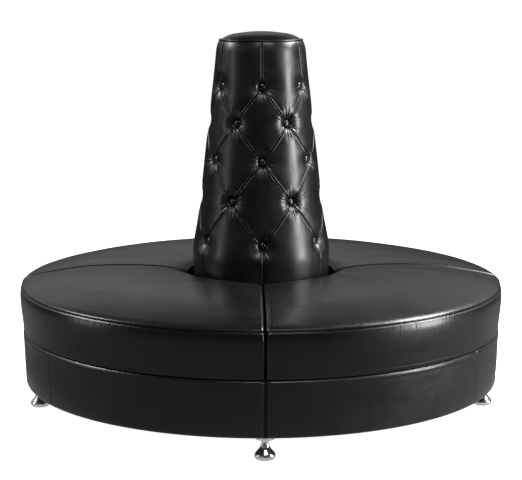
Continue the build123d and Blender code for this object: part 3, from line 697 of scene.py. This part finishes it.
def wrapPath(look):
    # the end panel's path: round the base, about the outer corner, and along the parting face to the well
    corner, face, steps = look["cornerRadius"], look["endFace"], look["steps"]
    centre = np.array([math.sqrt((look["radius"] - corner) ** 2 - (face + corner) ** 2), -face - corner])
    touch = math.degrees(math.atan2(centre[1], centre[0]))
    path, out, flare = arcPath(look, -look["coverAngle"], touch, steps["wrap"], look["wrapEase"])
    t = np.radians(np.linspace(touch, 90, steps["corner"] + 1)[1:])
    bend = np.stack([np.cos(t), np.sin(t)], 1)
    straight = np.linspace(centre[0], look["wellEnd"], steps["face"] + 1)[1:, None] * (1, 0) - (0, face)
    path = np.vstack([path, centre + corner * bend, straight])
    out = np.vstack([out, bend, 0 * straight + (0, 1)])
    return path, out, np.concatenate([flare, np.linspace(1, 0, len(bend)), np.zeros(len(straight))])


def makeBase(look):
    # two wall panels and two end panels for each half
    gap, butt = (math.degrees(look[size] / look["radius"]) for size in ("seamGap", "butt"))
    for half, body in ((0, "front_half"), (180, "rear_half")):
        word = body.split("_")[0]
        turn = math.radians(half)
        spin = np.array([[math.cos(turn), math.sin(turn)], [-math.sin(turn), math.cos(turn)]])
        for side, label in ((-1, "left"), (1, "right")):
            start, stop = half - 90 + side * gap, half - 90 + side * (90 - look["coverAngle"] - butt)
            path, out, flare = arcPath(look, start, stop, look["steps"]["round"], look["wallEase"])
            basePanel(f"{word}_wall_{label}", path, out, flare, look, body, f"{word}_base_cover_{label}",
                      seed=look["wallSeed"] + half + 5 * side, edges=("seam", "flat"))
            path, out, flare = wrapPath(look)
            path, out = path * (side, 1) @ spin, out * (side, 1) @ spin
            covers = f"{word}_end_covers" if side > 0 else None
            basePanel(f"{word}_end_wrap_{label}", path, out, flare, look, body, covers,
                      seed=look["wrapSeed"] + half + 5 * side, edges=("flat", "none"))


makeBase(baseLook)
print("base covered")

# Column: tufted leather over a cone, buttons in five rows of six
columnLook = dict(
    footHeight=345, footRadius=248, rimHeight=1228, shoulderRadius=147.5, rimRadius=142, rimRoll=34,
    rows=(1080, 958, 832, 697, 555), around=6, front=-90, sink=19.6, flat=0.92,
    dimpleFlat=10.5, dimpleReach=8.0, dimpleWide=0.4, dimplePower=0.92, haloDepth=1.9, haloReach=26,
    puff=(1.2, 46, 14), skirt=(6.0, 530, 70), skirtClear=(14, 55), tuck=7.0, tuckReach=(35, 135),
    # sewn lines: valley (depth, reach, power), then a groove and a bead, each (height, place, width)
    pleat=dict(valley=(3.6, 17, 1.15), groove=(2.8, 0, 1.4), bead=(-1.6, 3.7, 1.6)),
    upperSeam=dict(valley=(1.6, 15, 1.3), groove=(2.0, 0, 1.7), bead=(-1.3, 4.0, 1.6)),
    lowerSeam=dict(valley=(2.6, 15, 1.3), groove=(2.0, 2.4, 1.6), bead=(-1.3, -1.2, 1.6)),
    foldRise=2.9, foldFrom=14, foldReach=24, foldPower=1.3, foldClear=(11, 24), folds=(12, 27), foldWaves=5, foldSeed=7,
    lineClear=(10, 17), sway=0.5, swayPitch=(300, 110), swaySeeds=(91, 92), cells=60, gather=0.62,
    padDepth=40, rimParts=(0.1, 0.4, 0.75, 1.0),        # shares of the way in from the leather to the shell
    slack=3.0, cloth=dict(pressure=30, mass=0.01, tension=2, cap=5), heldReach=(7, 40), coarse=(180, 110), fine=4,
    evened=3,
)


def coneRadius(height, look):
    # straight from the foot radius to the shoulder radius
    slope = (look["footRadius"] - look["shoulderRadius"]) / (look["rimHeight"] - look["footHeight"])
    return look["footRadius"] - slope * (height - look["footHeight"])


def columnButtons(look):
    # (angle, height) of every button
    step = 360 / look["around"]
    return [
        (look["front"] + (place + (row % 2) / 2) * step, height)
        for row, height in enumerate(look["rows"])
        for place in range(look["around"])
    ]


def columnLines(look):
    # the sewn lines, each (kind, angle, height, angle, height): diagonal pleats, then upper and lower seams
    step = 360 / look["around"]
    rows = look["rows"]
    lines = []
    for row in range(len(rows) - 1):
        for place in range(look["around"]):
            turn = look["front"] + (place + (row % 2) / 2) * step
            for side in (-0.5, 0.5):
                lines.append(("pleat", turn, rows[row], turn + side * step, rows[row + 1]))
    for place in range(look["around"]):
        turn = look["front"] + place * step
        low = turn + ((len(rows) - 1) % 2) / 2 * step
        lines.append(("upperSeam", turn, look["rimHeight"] + 30, turn, rows[0]))
        lines.append(("lowerSeam", low, rows[-1], low, look["footHeight"] - 40))
    return lines


def arcFrom(turn, angle, radius):
    # length round the cone from an angle in degrees, the short way
    return ((turn - angle + 180) % 360 - 180) * np.pi / 180 * radius


def columnRelief(turn, height, look):
    # depth below the cone's face: dimples at the buttons, valleys and pleats between them, folds round them,
    # and the distance from the nearest sewn line or button
    radius = coneRadius(height, look)
    depth, fold, line, valley = (np.zeros_like(turn) for _ in range(4))
    nearest, sewn = np.full_like(turn, 1e3), np.full_like(turn, 1e3)
    draw = np.random.RandomState(look["foldSeed"])
    for angle, level in columnButtons(look):
        x, y = arcFrom(turn, angle, radius), height - level
        away, around = np.hypot(x, y * look["flat"]), np.arctan2(y, x)
        wide = 1 + look["dimpleWide"] * np.cos(around) ** 2
        past = np.maximum(away - look["dimpleFlat"], 0)
        nearest = np.minimum(nearest, away)
        halo = look["haloDepth"] * np.exp(-((past / look["haloReach"] / wide) ** 2))
        core = np.exp(-((past / look["dimpleReach"] / wide) ** look["dimplePower"]))
        depth = np.maximum(depth, (look["sink"] - look["haloDepth"]) * core + halo)
        wave = np.zeros_like(turn)
        for _ in range(look["foldWaves"]):
            size, lobes, phase = draw.uniform(0.4, 1), draw.randint(*look["folds"]), draw.uniform(0, 6.28)
            wave += size * np.cos(lobes * around + phase)
        past = np.maximum(away - look["foldFrom"], 0)
        strength = look["foldRise"] * np.exp(-((past / look["foldReach"]) ** look["foldPower"]))
        fold += strength * smooth(away, *look["foldClear"]) * (0.35 + 0.65 * np.cos(around) ** 2) * wave / 3
    for kind, turnA, heightA, turnB, heightB in columnLines(look):
        ax, ay = arcFrom(turn, turnA, radius), height - heightA
        bx, by = ax - ((turnB - turnA) * np.pi / 180 * radius), height - heightB
        vx, vy = ax - bx, ay - by
        t = np.clip((ax * vx + ay * vy) / (vx**2 + vy**2), 0, 1)
        away = np.hypot(ax - t * vx, ay - t * vy)
        sewn = np.minimum(sewn, away)
        deep, reach, power = look[kind]["valley"]
        if kind == "pleat":           # shallower halfway between its buttons
            deep = deep * (0.55 + 0.45 * (2 * t - 1) ** 2)
        valley = np.maximum(valley, deep * np.exp(-((away / reach) ** power)))
        side = np.where(ax > 0, away, -away) if kind == "lowerSeam" else away
        shape = ridge(side, 0, look[kind]["groove"]) + ridge(side, 0, look[kind]["bead"])
        line = np.where(abs(shape) > abs(line), shape, line)
    puff = ridge(nearest, 0, look["puff"]) + ridge(height, 0, look["skirt"]) * smooth(nearest, *look["skirtClear"])
    depth = np.maximum(depth, valley) + 0.35 * np.minimum(depth, valley)
    return depth + line * smooth(nearest, *look["lineClear"]) - fold - puff, np.minimum(sewn, nearest - 9)


def columnPoints(turn, height, look, swelling=None):
    # cone radius less the relief, drawn in at the top rim by a quarter circle, with the swelling read off its fine grid
    rim = look["rimHeight"]
    near = np.clip(1 - (rim - height) / look["rimRoll"], 0, 1)
    rolled = (1 - np.sqrt(1 - near**2 * 0.999)) / (1 - math.sqrt(0.001))
    radius = coneRadius(height, look) - columnRelief(turn, height, look)[0]
    radius = radius - (look["shoulderRadius"] - look["rimRadius"]) * rolled
    radius = radius - look["tuck"] * smooth(look["rows"][-1] - height, *look["tuckReach"])
    if swelling is not None:
        across, up = swelling.shape
        share = np.clip((height - look["footHeight"]) / (rim - look["footHeight"]), 0, 0.9999)
        x, y = (turn % 360) / 360 * across, share * (up - 1)
        i, j = x.astype(int), y.astype(int)
        p, q = x - i, y - j
        i, on = i % across, (i + 1) % across
        low = (1 - p) * swelling[i, j] + p * swelling[on, j]
        high = (1 - p) * swelling[i, j + 1] + p * swelling[on, j + 1]
        radius = radius + (1 - q) * low + q * high
    (upPitch, roundPitch), (upSeed, roundSeed) = look["swayPitch"], look["swaySeeds"]
    fromFront = np.abs((turn + 90 + 180) % 360 - 180)
    slow = ripple(height + 0.6 * turn, upPitch, upSeed) * ripple(fromFront, roundPitch, roundSeed)
    return turned(radius + look["sway"] * slow, height, np.radians(turn))


def columnSwelling(look):
    # the cone between its sewn lines blown up by the cloth; only the way outwards is used
    across, up = look["coarse"]
    turn, height = np.meshgrid(
        np.arange(across) * 360 / across, np.linspace(look["footHeight"], look["rimHeight"], up), indexing="ij"
    )
    relief, sewn = columnRelief(turn, height, look)
    free = smooth(sewn, *look["heldReach"]) * smooth(height, look["footHeight"] + 12, look["footHeight"] + 70)
    free = free * smooth(look["rimHeight"] - height, 12, 60)
    start = coneRadius(height, look) - np.clip(relief, -1, look["sink"] / 2) - look["slack"] * free
    points, quads = turned(start, height, np.radians(turn)), gridQuads(across, up, closeRows=True)
    moved = swell(points, quads, free.ravel() < heldBelow, look).reshape(across, up, 3)
    change = (moved * turned(1, 0, np.radians(turn))).sum(-1) - look["slack"] * free * (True)
    report("column", change, free)
    fine, evened = look["fine"], look["evened"]
    rows, columns = np.arange(across) * fine, np.arange(up) * fine
    return spread(rows, across * fine, True, evened) @ change @ spread(columns, (up - 1) * fine + 1, False, evened).T


def makeColumnCover(look):
    # patches between the buttons, with points drawn together at their edges, and rims turned in over the pad
    swelling = columnSwelling(look)
    cells = look["cells"]
    even = np.linspace(0, 1, cells + 1)
    share = even - look["gather"] * np.sin(2 * np.pi * even) / (2 * np.pi)
    rows, step = look["rows"], 360 / look["around"]
    half = step / 2
    spots = [look["front"] + place * step for place in range(look["around"])]
    patches = []
    for row in range(len(rows) - 2):
        for turn in (spot + (row % 2) * half for spot in spots):
            upper, middle, lower = rows[row : row + 3]
            patches.append(((turn, upper), (turn + half, middle), (turn, lower), (turn - half, middle)))
    for turn in spots:
        for side in (-half, half):
            for edge, tip, beyond in ((look["rimHeight"], *rows[:2]), (look["footHeight"], *rows[:-3:-1])):
                patches.append(((turn, edge), (turn + side, edge), (turn + side, beyond), (turn, tip)))
    points, quads = [], []
    s, t = share[None, :], share[:, None]
    for patch in patches:
        a, b, c, d = np.array(patch, float)[..., None, None]
        turn, height = (1 - t) * ((1 - s) * a + s * b) + t * ((1 - s) * d + s * c)
        quads.append(gridQuads(cells + 1, cells + 1, first=len(points) * (cells + 1) ** 2))
        points.append(columnPoints(turn, height, look, swelling).reshape(-1, 3))
    # rims: the leather turns in over the pad, whose inner side lies on the shell
    count = len(points) * (cells + 1) ** 2
    turns = np.concatenate([turn + side * share for turn in spots for side in (-half, half)]) % 360
    turns = np.unique(np.round(turns, 9))
    rings = []
    for height in (look["rimHeight"], look["footHeight"]):
        outer = columnPoints(turns, np.full_like(turns, height), look, swelling)
        inner = coneRadius(height, look) - look["padDepth"]
        size = np.hypot(outer[:, :1], outer[:, 1:2])
        spokes = [outer]
        for part in look["rimParts"]:
            plan = outer[:, :2] / size * (size + (inner - size) * part)
            spokes.append(np.hstack([plan, outer[:, 2:]]))
        rings += spokes if height == look["rimHeight"] else spokes[::-1]
    quads.append(gridQuads(len(rings), len(turns), closeColumns=True, first=count))
    points.append(np.array(rings).reshape(-1, 3))
    piece = makePiece("tufted_cover", np.vstack(points), np.vstack(quads), columnLeather, "column", weld=0.02)
    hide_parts("column_cover", "column_foam")


makeColumnCover(columnLook)
print("column tufted")

# Buttons: leather drawn over a dome and gathered behind it
buttonLook = dict(
    radius=12.3, edge=5.4, crown=5.4, back=4.0, lip=0.8, depth=22, gather=0.22, gathers=17, rings=20, spokes=44,
)


def makeButtons(look, column):
    # a lens turned about the button's own axis, its radius waved by a cosine near its rim
    t = np.linspace(0, 1, look["rings"]) * np.pi / 2
    front = np.stack([look["radius"] * np.sin(t), look["edge"] + look["crown"] * np.cos(t) ** 1.25], 1)
    rim, fall = look["edge"] - look["lip"], look["back"] - look["lip"]
    back = np.stack([look["radius"] * np.cos(t[1:]) ** 0.5, rim - fall * t[1:] / (np.pi / 2)], 1)
    profile = np.vstack([front, back])
    around = circle(look["spokes"])
    slope = (column["footRadius"] - column["shoulderRadius"]) / (column["rimHeight"] - column["footHeight"])
    points, quads = [], []
    for number, (angle, height) in enumerate(columnButtons(column)):
        gathers = (profile[:, :1] / look["radius"]) ** 6 * (1 + np.cos(look["gathers"] * around + number))
        r = profile[:, :1] * (1 - look["gather"] / look["radius"] * gathers)
        turn = math.radians(angle)
        out = np.array([math.cos(turn), math.sin(turn), slope])
        out /= np.linalg.norm(out)
        side = np.array([-math.sin(turn), math.cos(turn), 0])
        up = np.cross(out, side)
        face = coneRadius(height, column) - look["depth"]
        spot = np.array([face * math.cos(turn), face * math.sin(turn), height])
        x, y = (r * np.cos(around))[..., None], (r * np.sin(around))[..., None]
        quads.append(gridQuads(*r.shape, closeColumns=True, first=number * r.size))
        points.append((spot + x * side + y * up + profile[:, 1][:, None, None] * out).reshape(-1, 3))
    piece = makePiece("covered_buttons", np.vstack(points), np.vstack(quads), buttonLeather, "column")
    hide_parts("tufting_buttons")


makeButtons(buttonLook, columnLook)
print("buttons pulled in")

# Cap: a domed pad with a piped edge
capLook = dict(
    radius=137, low=1228, eaves=1231, top=1259, knee=0.5, kneeRise=0.82, brow=0.93, browRise=7.2, flat=0.2, flatDrop=0.7,
    pucker=0.35, puckerPitch=13.45, puckerReach=10, seed=501, sway=0.5, rings=70, spokes=240,
    slack=3.0, cloth=dict(pressure=40, mass=0.005, tension=2, cap=4), coarse=4, coarseAround=5, evened=(3, 6),
)
weltLook = dict(
    ring=140.3, radius=3.1, height=1231.3, wave=0.12, wavePitch=10.6, seed=77, joint=0.35, jointReach=0.03,
    spokes=420, sides=18,
)


def makeCap(look):
    # profile turned about the axis: flat base, short side, then a dome with small gathers at its edge
    radius, eaves, top = look["radius"], look["eaves"], look["top"]
    dome = through([
        (radius, eaves), (radius * look["brow"], eaves + look["browRise"]),
        (radius * look["knee"], eaves + (top - eaves) * look["kneeRise"]),
        (radius * look["flat"], top - look["flatDrop"]), (0, top),
    ], look["rings"])
    profile = np.vstack([[(0, look["low"]), (radius * 0.6, look["low"]), (radius, look["low"])], dome])
    around = circle(look["spokes"])
    r, z = profile[:, :1] + 0 * around, profile[:, 1:] + 0 * around
    edge = np.exp(-(radius - r) / look["puckerReach"]) * (z > eaves)
    slow = (np.cos(2 * around + 0.6) * 0.5 + np.cos(3 * around) * 0.35) * (z > eaves)
    lift = look["pucker"] * edge * ripple(around * radius + 0 * r, look["puckerPitch"], look["seed"])
    lift = lift + look["sway"] * (r / radius) * (1 - edge) * slow
    points = turned(r, z + lift * smooth(radius - r, 0, 3), around)
    # the dome is blown up from a shape drawn in by the slack; its pole takes the mean
    free = smooth(radius - r, 4, 50) * (z > eaves)
    rows, columns = np.arange(2, len(profile) - 1, look["coarse"]), np.arange(0, look["spokes"], look["coarseAround"])
    pick = np.ix_(rows, columns)
    start = turned(r, z - look["slack"] * free, around)[pick]
    moved = swell(start, gridQuads(len(rows), len(columns), closeColumns=True), free[pick].ravel() < heldBelow, look)
    change = moved.reshape(len(rows), len(columns), 3)[..., 2] - look["slack"] * free[pick] * (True)
    report("cap", change, free[pick])
    inward, along = look["evened"]
    down, across = spread(rows, len(profile), False, inward), spread(columns, look["spokes"], True, along)
    points[..., 2] += down @ change @ across.T * free
    points[-1] = points[-1].mean(0)
    quads = gridQuads(*r.shape, closeColumns=True)
    piece = makePiece("cap_pad", points.reshape(-1, 3), quads, columnLeather, "column")
    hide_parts("cap_cover", "cap_foam")


def makeWelt(look):
    # a thin ring whose thickness waves a little, with the lap of its joint at the back
    around, side = circle(look["spokes"])[:, None], circle(look["sides"])[None, :]
    thick = look["radius"] + look["wave"] * ripple(around * look["ring"], look["wavePitch"], look["seed"])
    thick = thick + look["joint"] * bump(around, np.pi / 2, look["jointReach"])
    points = turned(look["ring"] + thick * np.cos(side), look["height"] + thick * np.sin(side), around)
    quads = gridQuads(look["spokes"], look["sides"], True, True)
    piece = makePiece("cap_piping", points.reshape(-1, 3), quads, weltLeather, "column")
    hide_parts("cap_welt")


makeCap(capLook)
makeWelt(weltLook)
print("cap piped")

# Feet: polished trumpets under the base
footLook = dict(
    profile=((0, 0.0), (21, 0.0), (26, 1.0), (30.6, 5.0), (32.6, 10.5), (31.6, 16.5), (28.6, 21.5), (24.6, 26),
             (19.4, 32), (15.4, 38), (12.9, 44), (11.5, 49), (10.8, 54), (11.4, 58.5), (15, 61), (23, 62.8),
             (28.6, 64.2), (30.4, 66.5), (31, 70), (31, 74)),
    stud=((5, 74), (5, 96), (0, 96)), spokes=72,
    places=((774, -90), (774, -13), (774, -167), (330, -126), (330, -54)),      # (radius, degrees)
)


def makeFeet(look):
    # the profile turned about each foot's axis
    shape = through(look["profile"][1:], 80)
    shape[:, 1] = np.clip(shape[:, 1], 0, look["profile"][-1][1])
    profile = np.vstack([[look["profile"][0]], shape, look["stud"]])
    quads = gridQuads(len(profile), look["spokes"], closeColumns=True)
    for half, body in ((0, "front_half"), (180, "rear_half")):
        word = body.split("_")[0]
        for number, (radius, angle) in enumerate(look["places"], 1):
            turn = math.radians(angle + half)
            points = turned(profile[:, :1], profile[:, 1:], circle(look["spokes"]))
            points = points + (radius * math.cos(turn), radius * math.sin(turn), 0)
            piece = makePiece(f"{word}_trumpet_{number}", points.reshape(-1, 3), quads, chrome, body)
            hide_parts(f"{word}_foot_{number}")


makeFeet(footLook)
print("feet screwed on")

# Finishes of the pieces that stay as they are, by the end of their names; the last that fits holds
finishes = {
    # seat_board and deck_board are stained near black, which also paints shade into the gaps under and between the
    # cushions
    "board": plywood, "seat_board": wellPlywood, "deck_board": wellPlywood, "bottom_board": blackCloth,
    # the outer skin takes the painted shade lining, so the wall seams read dark
    "ribs": plywood, "end_panels": plywood, "outer_skin": paintedShadeLining, "inner_skin": wellPlywood,
    "plinth_drum": wellPlywood, "formers": plywood, "posts": plywood, "shell": plywood, "glides": wellPlywood,
    "foam": foamStuff, "ties": twineStuff,
    "tee_nuts": steel, "seat_screws": steel, "pin_sockets": steel, "pins": steel,
}
for name, node in nodes.items():
    found = [material for word, material in finishes.items() if name.endswith(word)]
    if found:
        node.data.materials.clear()
        node.data.materials.append(found[-1])
print("frame finished")
